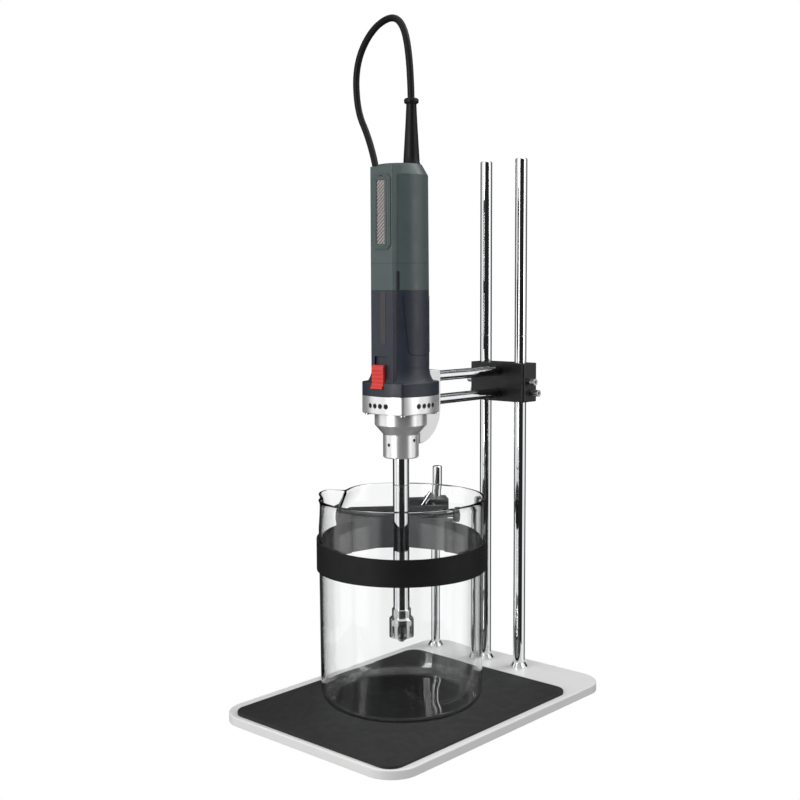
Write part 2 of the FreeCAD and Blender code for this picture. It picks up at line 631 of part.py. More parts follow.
# The motor case in two mouldings, with a flat keel towards the front for the switch and the vent.
front = body("front_housing", 0, "axis_y")
pad(front, cushion(sketch(front, "XY_Plane", "ring_split")), "ring_rise")
soften(front, 1.1, lambda e: level(e, num(RING_TOP)))
revolve(front, outline(sketch(front, "XZ_Plane"), (0, "ring_split"), [
    ("flare_r-1", "ring_split"), ("flare_r-1", RING_TOP + "-1.5"), ("flare_r", RING_TOP),
    ("case_r+0.9", RING_TOP + "+6", "case_r", "flare_z"),
    ("case_r-0.25", "case_split"), (0, "case_split")]))


def keel(owner, low, high):
    made = sketch(owner, "XY_Plane", low)
    outline(made, ("-keel_half", "-keel_face+1.2"), [
        ("-keel_half+0.35", "-keel_face+0.35", "-keel_half+1.2", "-keel_face"),
        ("keel_right-1.2", "-keel_face"),
        ("keel_right-0.35", "-keel_face+0.35", "keel_right", "-keel_face+1.2"),
        ("keel_right", "-15"), ("-keel_half", "-15")])
    pad(owner, made, f"{high}-({low})")


keel(front, "ring_split+1", "case_split")
core = sketch(front, "XZ_Plane")
outline(core, (0, "ring_split"), [
    ("ring_bore", "ring_split"), ("ring_bore", "ring_split+10"), ("18", "ring_split+22"),
    ("7", "ring_split+22"), ("7", "low_seat_z-1"), ("seat_r-2", "low_seat_z-1"),
    ("seat_r-2", "low_seat_z"), ("seat_r+0.03", "low_seat_z"), ("seat_r+0.03", "low_seat_z+seat_tall+2"),
    ("case_bore", "low_seat_z+seat_tall+2"), ("case_bore", "case_split"), (0, "case_split")])
groove(front, core)


def window(owner, middle, half, low, high, start, deep):
    """A pocket from the front, start millimetres before the axis."""
    made = sketch(owner, "XZ_Plane", start)
    left, right = f"{middle}-({half})", f"{middle}+{half}"
    outline(made, (left, low), [(right, low), (right, high), (left, high)])
    pocket(owner, made, deep)


window(front, 0, "switch_half+0.35", "switch_low-0.4", "switch_high+switch_play+0.8", "ring_bulge+4",
       "ring_bulge+4-switch_seat+0.1")
window(front, 0, "3", "switch_low+4", "switch_high-4", "switch_seat+1", "6")
for side in (-1, 1):
    for end in (-1, 1):
        hole = sketch(front, "XY_Plane", "ring_split")
        pocket(front, circle(hole, f"{side}*corner_screw", f"{end}*corner_screw", "1.52"), "7", back=True)
hole = sketch(front, "XZ_Plane", "-ring_bulge-1")
pocket(front, circle(hole, 0, "bracket_screw_z", "1.75"), "9", back=True)

rear = turned("rear_housing", (0, "case_split"), [
    ("case_r-0.25", "case_split"), ("case_top_r", "case_top-10"), ("20", "case_top"), (0, "case_top")])
keel(rear, "case_split", "keel_high")
panel = sketch(rear, "XZ_Plane", "keel_face-0.5")
left, right = "frame_x-frame_half", "frame_x+frame_half"
outline(panel, (left + "+3", "frame_low"), [
    (right + "-4", "frame_low"), (right, "frame_low+4"),
    (right, "frame_high-4"), (right + "-4", "frame_high"),
    (left + "+3", "frame_high"), (left, "frame_high-3"), (left, "frame_low+3")])
pad(rear, panel, "frame_out+0.5")
pad(rear, circle(sketch(rear, "XY_Plane", "case_top-1"), 0, "relief_y", "9"), "2")
inside = sketch(rear, "XZ_Plane")
outline(inside, (0, "case_split-1"), [
    ("case_bore", "case_split-1"), ("case_bore", "high_seat_z-4"), ("seat_r+0.03", "high_seat_z-4"),
    ("seat_r+0.03", "high_seat_z+seat_tall"), ("6", "high_seat_z+seat_tall"),
    ("6", "high_seat_z+seat_tall+6"), (0, "high_seat_z+seat_tall+6")])
groove(rear, inside)
pocket(rear, circle(sketch(rear, "XY_Plane", "case_top+1"), 0, "relief_y", "cord_r+1"),
       "case_top+1-high_seat_z+5")
window(rear, "insert_x", "insert_half+0.15", "insert_low-0.15", "insert_high+0.15", "keel_face+frame_out+1",
       "insert_deep+1")

insert = body("vent_insert", 0, "axis_y")
plate_face = sketch(insert, "XZ_Plane", "keel_face+frame_out-insert_deep")
left, right = "insert_x-insert_half", "insert_x+insert_half"
outline(plate_face, (left, "insert_low"), [
    (right, "insert_low"), (right, "insert_high"), (left, "insert_high")])
pad(insert, plate_face, "insert_deep-0.3")
slats = sketch(insert, "XZ_Plane", "keel_face+frame_out-0.2")
for n in range(16):
    low = f"insert_low+1.6+{n}*(insert_high-insert_low-6)/16"
    first, last = ("0", "1.6") if n < 8 else ("1.6", "0")
    outline(slats, (left + "+0.9", f"{low}+{first}"), [
        (right + "-0.9", f"{low}+{last}"), (right + "-0.9", f"{low}+{last}+1.5"),
        (left + "+0.9", f"{low}+{first}+1.5")])
pocket(insert, slats, "1")

# The sliding switch: a ribbed button with a lip, and a stem through the case wall.
switch = body("switch_slider", 0, "axis_y")
side_face = sketch(switch, "YZ_Plane")
steps = [("-switch_out-1.6", "switch_low"), ("-switch_out-1.6", "switch_low+1.6"),
         ("-switch_out", "switch_low+3")]
for n in range(4):
    base = f"switch_low+{5 + 3.4 * n:.1f}"
    steps += [("-switch_out", base), ("-switch_out+0.6", base + "+0.5"), ("-switch_out+0.6", base + "+1.1"),
              ("-switch_out", base + "+1.6")]
steps += [("-switch_out", "switch_high-1.5"), ("-switch_out+1.5", "switch_high"),
          ("-switch_seat-0.15", "switch_high")]
outline(side_face, ("-switch_seat-0.15", "switch_low"), steps)
pad(switch, side_face, "2*switch_half", midplane=True)
stem = sketch(switch, "XZ_Plane", "switch_seat-3.6")
outline(stem, ("-2.7", "switch_low+5"), [("2.7", "switch_low+5"), ("2.7", "switch_low+9.5"),
                                         ("-2.7", "switch_low+9.5")])
pad(switch, stem, "4.5")

# The strain relief: a ribbed taper with a ring at its top, bored for the cord.
relief_steps = [("relief_low_r+1.2", "case_top+1.1"), ("relief_low_r+1.2", "case_top+3"),
                ("relief_low_r", "case_top+3.6")]
for n in range(6):
    z0 = f"case_top+rib_first+{n}*rib_pitch"
    part = (9 + 7 * n) / 60
    r0 = f"relief_low_r+{part:.3f}*(relief_high_r-relief_low_r)"
    relief_steps += [(r0, z0), (r0 + "-0.4", z0 + "+0.6"), (r0 + "-0.4", z0 + "+2.2"), (r0, z0 + "+2.8")]
relief_steps += [("relief_high_r", RELIEF_TOP + "-5"), ("relief_low_r-0.2", RELIEF_TOP + "-4"),
                 ("relief_low_r-0.2", RELIEF_TOP + "-1"), ("relief_low_r-1", RELIEF_TOP),
                 ("cord_r+0.02", RELIEF_TOP)]
turned("strain_relief", ("cord_r+0.02", "case_top+1.1"), relief_steps, 0, "axis_y+relief_y")

# The cord: straight runs joined by tangent arcs, from the strain relief to the hank behind the motor.
ROUTE = [V(0, -9, 552), V(-0.6, -8.4, 608), V(-19.5, -2.0, 653), V(-66.5, 12.0, 651), V(-95, 16, 620),
         V(-97, 19.4, 574.9), V(-81.4, 20.0, 546.4), V(-60, 9.7, 508.3), V(-56.8, 8.1, 466)]


def tube_along(route, radius):
    edges = []
    last = route[0]
    radii = []
    for before, here, after in zip(route, route[1:], route[2:]):
        a = (before - here).normalize()
        b = (after - here).normalize()
        half = (math.pi - a.getAngle(b)) / 2
        reach = 0.45 * min((before - here).Length, (after - here).Length)
        radius_here = reach / math.tan(half)
        radii.append(round(radius_here, 1))
        start = here + a * reach
        end = here + b * reach
        middle = here + (a + b).normalize() * (radius_here / math.cos(half) - radius_here)
        edges += [Part.LineSegment(last, start).toShape(), Part.Arc(start, middle, end).toShape()]
        last = end
    edges.append(Part.LineSegment(last, route[-1]).toShape())
    wire = Part.Wire(edges)
    ring_wire = Part.Wire([Part.Circle(route[0], route[1] - route[0], radius).toShape()])
    made = wire.makePipeShell([ring_wire], True, False, 2)
    return made, wire.Length, radii


cord_shape, cord_length, cord_radii = tube_along(ROUTE, num("cord_r"))
cord = keep(doc.addObject("Part::Feature", "Cord"), "cord")
cord.Shape = cord_shape
section = math.pi * num("cord_r") ** 2
print("cord length", round(cord_length, 1), "radii", cord_radii,
      "volume over section times length", round(cord_shape.Volume / (section * cord_length), 4))

# The rest of the cord: a racetrack hank behind the motor, its tie and the plug.
HANK_SPIN = FreeCAD.Rotation(UP, num("hank_turn"))
hank = body("cord_hank", "hank_x", "hank_y", "hank_z", HANK_SPIN)
loop = sketch(hank, "XZ_Plane", "-4*cord_r")
for fold in ("hank_fold+cord_r", "hank_fold-cord_r"):
    r, q = f"({fold})", f"{K}*({fold})"
    outline(loop, (f"-{r}", "-hank_run"), [
        (f"-{q}", f"-hank_run-{q}", 0, f"-hank_run-{r}"), (q, f"-hank_run-{q}", r, "-hank_run"),
        (r, "hank_run"), (q, f"hank_run+{q}", 0, f"hank_run+{r}"),
        (f"-{q}", f"hank_run+{q}", f"-{r}", "hank_run")])
pad(hank, loop, "8*cord_r")
soften(hank, 2.6, lambda e: True)

tie = body("cord_tie", "hank_x", "hank_y", "tie_z", HANK_SPIN)
band = sketch(tie, "XY_Plane")
rounded(band, "tie_wide", "tie_deep", "3")
rounded(band, "tie_wide-2*tie_thick", "tie_deep-2*tie_thick", "1.6")
pad(tie, band, "tie_tall")

plug = body("plug", "plug_x", "plug_y", "plug_z", HANK_SPIN * FreeCAD.Rotation(V(1, 0, 0), 180))
revolve(plug, outline(sketch(plug, "XZ_Plane"), (0, "-plug_low"), [
    ("plug_r", "-plug_low"), ("plug_r", "-plug_low+14"), ("plug_r-2", "0"), ("plug_r-4", "12"),
    ("plug_r-7", "16"), ("cord_r+1.75", "30"), ("cord_r+0.65", "30.5"), (0, "30.5")]))
for start, long in (("-plug_low+1", "1"), ("-plug_low-pin_long+1", "pin_long")):
    pins = sketch(plug, "XY_Plane", start)
    circle(pins, "-pin_apart", 0, "pin_r")
    circle(pins, "pin_apart", 0, "pin_r")
    pad(plug, pins, long)

# Inside the motor.
turned("field_stator", ("field_in", "core_low"), [
    ("case_bore-0.02", "core_low"), ("case_bore-0.02", "core_high"), ("field_in", "core_high")])
turned("bearing_lower", ("motor_shaft_r", "low_seat_z"), [
    ("seat_r", "low_seat_z"), ("seat_r", "low_seat_z+seat_tall"), ("motor_shaft_r", "low_seat_z+seat_tall")])
turned("bearing_upper", ("motor_shaft_r", "high_seat_z"), [
    ("seat_r", "high_seat_z"), ("seat_r", "high_seat_z+seat_tall"),
    ("motor_shaft_r", "high_seat_z+seat_tall")])
turned("bearing_neck", ("shaft_r+0.03", "tube_high+2"), [
    ("8", "tube_high+2"), ("8", "tube_high+8"), ("shaft_r+0.03", "tube_high+8")])
turned("tube_bush", ("shaft_r+0.03", "tube_low+6"), [
    ("tube_bore-0.02", "tube_low+6"), ("tube_bore-0.02", "tube_low+16"), ("shaft_r+0.03", "tube_low+16")])
brushes = []
for side in (-1, 1):
    x = "comm_r+0.4" if side > 0 else "-comm_r-0.4-(case_bore-comm_r-0.7)"
    brushes.append(block("case_bore-comm_r-0.7", 6, 8, x, "axis_y-3", "comm_low+2"))
keep(group(*brushes), "brushes")

# The rotor: shaft, core, commutator, fan, coupling, drive shaft, bladed head and its nut.
turned("motor_shaft", (0, "motor_shaft_low"), [
    ("motor_shaft_r-0.02", "motor_shaft_low"), ("motor_shaft_r-0.02", "motor_shaft_high"),
    (0, "motor_shaft_high")])
turned("armature_core", ("motor_shaft_r", "core_low-4"), [
    ("10", "core_low-4"), ("core_r", "core_low"), ("core_r", "core_high"), ("10", "core_high+4"),
    ("motor_shaft_r", "core_high+4")])
turned("commutator", ("motor_shaft_r", "comm_low"), [
    ("comm_r", "comm_low"), ("comm_r", "comm_high"), ("motor_shaft_r", "comm_high")])
fan = turned("fan", ("motor_shaft_r", "fan_low"), [
    ("7", "fan_low"), ("7", "fan_low+2"), ("fan_r", "fan_low+2"), ("fan_r", "fan_low+3.5"),
    ("7", "fan_low+3.5"), ("7", "fan_high"), ("motor_shaft_r", "fan_high")])
blade = sketch(fan, "XY_Plane", "fan_low+3")
outline(blade, (6.5, -1), [("fan_r-0.4", -1), ("fan_r-0.4", 1), (6.5, 1)])
ring_pattern(fan, pad(fan, blade, "fan_high-fan_low-3"), 9)
turned("coupling", (0, "shaft_high"), [
    ("shaft_r", "shaft_high"), ("shaft_r", "shaft_high-10"), ("8.5", "shaft_high-10"),
    ("8.5", "shaft_high+12"), ("motor_shaft_r", "shaft_high+12"), ("motor_shaft_r", "motor_shaft_low"),
    (0, "motor_shaft_low")])
turned("drive_shaft", (0, "shaft_low"), [
    ("shaft_r-0.8", "shaft_low"), ("shaft_r", "shaft_low+0.8"), ("shaft_r", "shaft_high"), (0, "shaft_high")])
rotor = turned("rotor_head", ("shaft_r", "blade_low"), [
    ("5.2", "blade_low"), ("5.2", "blade_high"), ("shaft_r", "blade_high")])
wing = sketch(rotor, "XY_Plane", "blade_low")
outline(wing, (4.6, "-blade_thick/2"), [("blade_r", "-blade_thick/2"), ("blade_r", "blade_thick/2"),
                                        (4.6, "blade_thick/2")])
ring_pattern(rotor, pad(rotor, wing, "blade_high-blade_low"), 4)
nut_body = cut(hexagon("9", "3.6", 0, "axis_y", "blade_low-3.7"),
               cylinder("shaft_r", "5", 0, "axis_y", "blade_low-4.2"))
keep(nut_body, "rotor_nut")

# The beaker holder, in a frame whose X axis points from the beaker through the middle of the jaw.
JAW = FreeCAD.Rotation(UP, num("jaw_angle"))
TURN = math.radians(num("jaw_angle"))
rod_dx, rod_dy = num(SHORT_X), num("rod_y") - num("axis_y")
REACH = round(rod_dx * math.cos(TURN) + rod_dy * math.sin(TURN), 3)
ASIDE = round(-rod_dx * math.sin(TURN) + rod_dy * math.cos(TURN), 3)
BOSS = num("boss_half")
boss = body("holder_boss", 0, "axis_y", 0, JAW)
clasp = sketch(boss, "XY_Plane", "boss_low")
outline(clasp, (REACH - BOSS, ASIDE - BOSS), [
    (REACH + BOSS, ASIDE - BOSS), (REACH + BOSS, ASIDE + BOSS), (REACH + 3, ASIDE + BOSS),
    (REACH + 3, "pinch_y+8"), (REACH - BOSS, "pinch_y+8")])
circle(clasp, REACH, ASIDE, "short_r+0.05")
pad(boss, clasp, "boss_high-boss_low")
slit = sketch(boss, "XY_Plane", "boss_low")
outline(slit, (REACH - 4.7, ASIDE + 3.5), [(REACH - 3.3, ASIDE + 3.5), (REACH - 3.3, "pinch_y+10"),
                                          (REACH - 4.7, "pinch_y+10")])
pocket(boss, slit, "boss_high-boss_low", back=True)
before = REACH - BOSS - 1
pocket(boss, circle(sketch(boss, "YZ_Plane", before), "pinch_y", "boss_low+pinch_rise", "2.6"), "20",
       back=True)
pocket(boss, circle(sketch(boss, "YZ_Plane", before), "link_y", "link_z", "link_r"), "5", back=True)
soften(boss, 1.2, lambda e: e.Curve.TypeId == "Part::GeomLine" and len(e.Vertexes) == 2
       and abs(e.Vertexes[0].Z - e.Vertexes[1].Z) > 24.2
       and e.CenterOfMass.x > REACH + BOSS - 1)

link = body("holder_link", 0, "axis_y", 0, JAW)
pad(link, circle(sketch(link, "YZ_Plane", "bar_in"), "link_y", "link_z", "link_r"),
    REACH - BOSS + 4 - num("bar_in"))

bar = body("holder_bar", 0, "axis_y", 0, JAW)
bar_face = sketch(bar, "XY_Plane", "bar_low")
outline(bar_face, ("bar_in", "-bar_right"), [
    ("bar_in+bar_thick", "-bar_right"), ("bar_in+bar_thick", "bar_left"), ("bar_in", "bar_left")])
pad(bar, bar_face, "bar_high-bar_low")
pocket(bar, circle(sketch(bar, "YZ_Plane", "bar_in"), "link_y", "link_z", "link_r"), "bar_thick", back=True)
pocket(bar, circle(sketch(bar, "XZ_Plane", "bar_right"), "bar_in+bar_thick/2", "knob_z", "1.9"), "2.3")

jaw = body("holder_jaw", 0, "axis_y", 0, JAW)
C, T = "0.8660254", "0.5773503"
for side, half in ((1, "jaw_left"), (-1, "jaw_right")):
    vee = sketch(jaw, "XY_Plane", "jaw_low")
    outline(vee, (f"jaw_dist/{C}", 0), [
        (f"jaw_dist/{C}+jaw_thick/{C}", 0),
        (f"jaw_dist/{C}-{half}*{T}+{C}*jaw_thick", f"{side}*({half}+0.5*jaw_thick)"),
        (f"jaw_dist/{C}-{half}*{T}", f"{side}*{half}")])
    pad(jaw, vee, "jaw_high-jaw_low")
back = sketch(jaw, "XY_Plane", "jaw_low")
outline(back, ("jaw_dist+3.4", "-jaw_flat"), [("bar_in", "-jaw_flat"), ("bar_in", "jaw_flat"),
                                              ("jaw_dist+3.4", "jaw_flat")])
pad(jaw, back, "jaw_high-jaw_low")

strap = body("strap", 0, "axis_y", 0, JAW)
hoop = sketch(strap, "XY_Plane", "strap_low")
circle(hoop, 0, 0, "strap_in+strap_thick")
circle(hoop, 0, 0, "strap_in")
pad(strap, hoop, "strap_high-strap_low")
wedge = sketch(strap, "XZ_Plane")
outline(wedge, ("-80", "strap_high-8.1"), [("80", "strap_high"), ("80", "strap_high+4"),
                                           ("-80", "strap_high+4")])
pocket(strap, wedge, "200", midplane=True)
opened = sketch(strap, "XY_Plane", "strap_low-1")
from_x, from_y = math.cos(math.radians(num("strap_from"))), math.sin(math.radians(num("strap_from")))
to_x, to_y = math.cos(math.radians(num("strap_to"))), math.sin(math.radians(num("strap_to")))
outline(opened, (0, 0), [(f"2*strap_in*{to_x:.5f}", f"-2*strap_in*{to_y:.5f}"),
                         (f"2*strap_in*{from_x:.5f}", f"2*strap_in*{from_y:.5f}")])
pocket(strap, opened, "strap_high-strap_low+2", back=True)

knob = body("strap_knob", 0, "axis_y", 0, JAW)
pad(knob, circle(sketch(knob, "XZ_Plane", "bar_right-2.1"), "bar_in+bar_thick/2", "knob_z", "1.8"), "12")
pad(knob, circle(sketch(knob, "XZ_Plane", "bar_right+8.4"), "bar_in+bar_thick/2", "knob_z", "7.7"), "6.6")
soften(knob, 1.4, lambda e: e.Curve.TypeId == "Part::GeomCircle" and e.Curve.Radius > 7)

lever = body("boss_lever", 0, "axis_y", 0, JAW)
START = REACH - num("lever_in")
pad(lever, circle(sketch(lever, "YZ_Plane", START), "pinch_y", "boss_low+pinch_rise", "2.5"), "lever_in+2")
pad(lever, circle(sketch(lever, "YZ_Plane", START), "pinch_y", "boss_low+pinch_rise", "5"),
    "lever_in-boss_half-0.3")
handle = sketch(lever, "YZ_Plane", START + 5)
LEAN = math.radians(33)
ax, az = math.sin(LEAN), math.cos(LEAN)
points = []
HALF = num("handle_half")
for along, across in ((-HALF, -2.3), (HALF, -2.3), (HALF, 2.3), (-HALF, 2.3)):
    points.append((f"pinch_y+{-along * ax + across * az:.4f}",
                   f"boss_low+pinch_rise+{along * az + across * ax:.4f}"))
outline(handle, points[0], points[1:])
pad(lever, handle, "4.6", midplane=True)
soften(lever, 1.4, lambda e: e.Length > 20 and e.Curve.TypeId == "Part::GeomLine"
       and abs(e.Vertexes[0].Z - e.Vertexes[1].Z) > 15)

doc.recompute()

bad = [f"{o.Label} in {[p.Label for p in o.InList]}" for o in doc.Objects
       if "Invalid" in o.State or "Error" in o.State]
if bad:
    raise SystemExit("not built: " + ", ".join(bad))
labels = [n.Label for n in nodes]
if len(set(labels)) != len(labels) or len(labels) > 60:
    raise SystemExit("labels repeat or there are too many")
for old in os.listdir("parts"):
    os.remove(os.path.join("parts", old))
for node in nodes:
    shape = node.Shape
    if shape.isNull() or not shape.isValid() or not shape.Solids:
        raise SystemExit(f"{node.Label}: its shape is empty or not valid")
    shape.exportStep(f"parts/{node.Label}.step")
    box = shape.BoundBox
    print(f"{node.Label:20s} solids {len(shape.Solids)}  z {box.ZMin:7.1f} {box.ZMax:7.1f}")
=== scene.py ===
import bpy
import bmesh
import math
from mathutils import Matrix, Vector


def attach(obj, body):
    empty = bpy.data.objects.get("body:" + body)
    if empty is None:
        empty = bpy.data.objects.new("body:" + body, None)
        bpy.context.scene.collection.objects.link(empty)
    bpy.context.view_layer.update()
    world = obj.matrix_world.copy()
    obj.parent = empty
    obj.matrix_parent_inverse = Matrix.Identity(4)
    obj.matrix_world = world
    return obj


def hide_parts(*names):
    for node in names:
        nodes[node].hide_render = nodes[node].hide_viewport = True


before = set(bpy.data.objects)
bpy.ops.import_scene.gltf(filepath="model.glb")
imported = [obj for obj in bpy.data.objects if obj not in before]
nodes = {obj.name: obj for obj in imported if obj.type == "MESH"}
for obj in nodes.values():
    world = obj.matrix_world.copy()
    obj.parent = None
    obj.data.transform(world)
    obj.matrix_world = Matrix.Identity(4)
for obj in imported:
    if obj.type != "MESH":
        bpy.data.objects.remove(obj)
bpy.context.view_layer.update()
scene = bpy.context.scene
MM = 0.001
AXIS = Vector((0, -0.025, 0))


# Materials

class Finish:
    """A node tree for one surface, in object coordinates. Noise scales count waves in a metre."""

    def __init__(self, name):
        self.material = bpy.data.materials.new(name)
        self.material.use_nodes = True
        self.tree = self.material.node_tree
        self.tree.nodes.clear()
        self.out = self.add("OutputMaterial")
        self.shader = self.add("BsdfPrincipled")
        self.link(self.shader.outputs[0], self.out.inputs["Surface"])
        self.place = self.add("TexCoord").outputs["Object"]

    def add(self, kind, **settings):
        made = self.tree.nodes.new("ShaderNode" + kind)
        for key, value in settings.items():
            setattr(made, key, value)
        return made

    def link(self, source, target):
        self.tree.links.new(source, target)

    def noise(self, scale, stretch=(1, 1, 1), detail=3.0):
        mapping = self.add("Mapping")
        mapping.inputs["Scale"].default_value = stretch
        self.link(self.place, mapping.inputs["Vector"])
        made = self.add("TexNoise")
        made.inputs["Scale"].default_value = scale
        made.inputs["Detail"].default_value = detail
        self.link(mapping.outputs[0], made.inputs["Vector"])
        return made.outputs["Fac"]

    def range(self, source, low, high, start=0.3, end=0.7):
        made = self.add("MapRange")
        made.inputs["From Min"].default_value = start
        made.inputs["From Max"].default_value = end
        made.inputs["To Min"].default_value = low
        made.inputs["To Max"].default_value = high
        self.link(source, made.inputs["Value"])
        return made.outputs[0]

    def mix(self, amount, first, second):
        made = self.add("Mix", data_type="RGBA")
        for socket, value in ((made.inputs[6], first), (made.inputs[7], second)):
            if isinstance(value, tuple):
                socket.default_value = value + (1.0,)
            else:
                self.link(value, socket)
        self.link(amount, made.inputs[0])
        return made.outputs[2]

    def colour(self, base, spread, scale=40.0, stretch=(1, 1, 1)):
        dark = tuple(c * (1 - spread) for c in base)
        light = tuple(min(1.0, c * (1 + spread)) for c in base)
        made = self.mix(self.range(self.noise(scale, stretch), 0, 1), dark, light)
        self.link(made, self.shader.inputs["Base Color"])
        return made

    def rough(self, limits, scale=60.0, stretch=(1, 1, 1)):
        made = self.range(self.noise(scale, stretch), *limits)
        self.link(made, self.shader.inputs["Roughness"])

    def bumps(self, *layers, edge=0.0):
        """Each layer is (scale, depth in mm, stretch). The edge, in mm, rounds the look of corners."""
        normal = None
        if edge:
            bevel = self.add("Bevel", samples=4)
            bevel.inputs["Radius"].default_value = edge * MM
            normal = bevel.outputs[0]
        for scale, depth, stretch in layers:
            made = self.add("Bump")
            made.inputs["Strength"].default_value = 1.0
            made.inputs["Distance"].default_value = depth * MM
            self.link(self.noise(scale, stretch), made.inputs["Height"])
            if normal is not None:
                self.link(normal, made.inputs["Normal"])
            normal = made.outputs[0]
        if normal is not None:
            self.link(normal, self.shader.inputs["Normal"])

    def set(self, **values):
        for key, value in values.items():
            self.shader.inputs[key.replace("_", " ")].default_value = value


ROUND = (1, 1, 1)
LENGTHWAYS = (8, 8, 0.6)
RINGS = (0.3, 0.3, 9)
CROSSWAYS = (1, 1, 4)
SEAM_HALF = 0.35


def metal(name, base, rough, spread=0.03, share=1.0, stretch=ROUND, bump=None, edge=0.3):
    """A metal. The share is how metallic it is, and bump is (scale, depth in mm) of its grain."""
    made = Finish(name)
    made.set(Metallic=share)
    made.colour(base, spread, 60.0, stretch)
    made.rough(rough, 90.0, stretch)
    layers = [bump + (stretch,)] if bump else []
    made.bumps(*layers, edge=edge)
    return made.material


def plastic(name, base, rough, bump=(1500.0, 0.02), edge=0.4, spread=0.06, coat=0.0, ior=0.5):
    """A plastic, paint or rubber. The bump is (scale, depth in mm) of its grain."""
    made = Finish(name)
    made.colour(base, spread, 35.0)
    made.rough(rough, 120.0)
    made.bumps(bump + (ROUND,), edge=edge)
    made.set(Coat_Weight=coat, Coat_Roughness=0.25, Specular_IOR_Level=ior)
    return made.material


def seamed(name, base, rough, height, tone):
    """A moulded plastic with a seam line at a height in millimetres, tone times as bright."""
    made = Finish(name)
    body = made.colour(base, 0.05, 30.0)
    split = made.add("SeparateXYZ")
    made.link(made.place, split.inputs[0])
    near = made.add("Math", operation="COMPARE")
    near.inputs[1].default_value = height * MM
    near.inputs[2].default_value = SEAM_HALF * MM
    made.link(split.outputs[2], near.inputs[0])
    lined = made.mix(near.outputs[0], body, tuple(c * tone for c in base))
    made.link(lined, made.shader.inputs["Base Color"])
    made.rough(rough, 110.0)
    made.bumps((1400.0, 0.02, ROUND), edge=0.5)
    return made.material


def clear(name, tint, ior):
    """Clear glass that lets light through its shadow."""
    made = Finish(name)
    made.set(Transmission_Weight=1.0, IOR=ior)
    made.colour(tint, 0.004, 12.0)
    made.rough((0.0, 0.012), 40.0)
    through = made.add("BsdfTransparent")
    through.inputs["Color"].default_value = tint + (1.0,)
    path = made.add("LightPath")
    both = made.add("MixShader")
    made.link(path.outputs["Is Shadow Ray"], both.inputs[0])
    made.link(made.shader.outputs[0], both.inputs[1])
    made.link(through.outputs[0], both.inputs[2])
    made.link(both.outputs[0], made.out.inputs["Surface"])
    return made.material


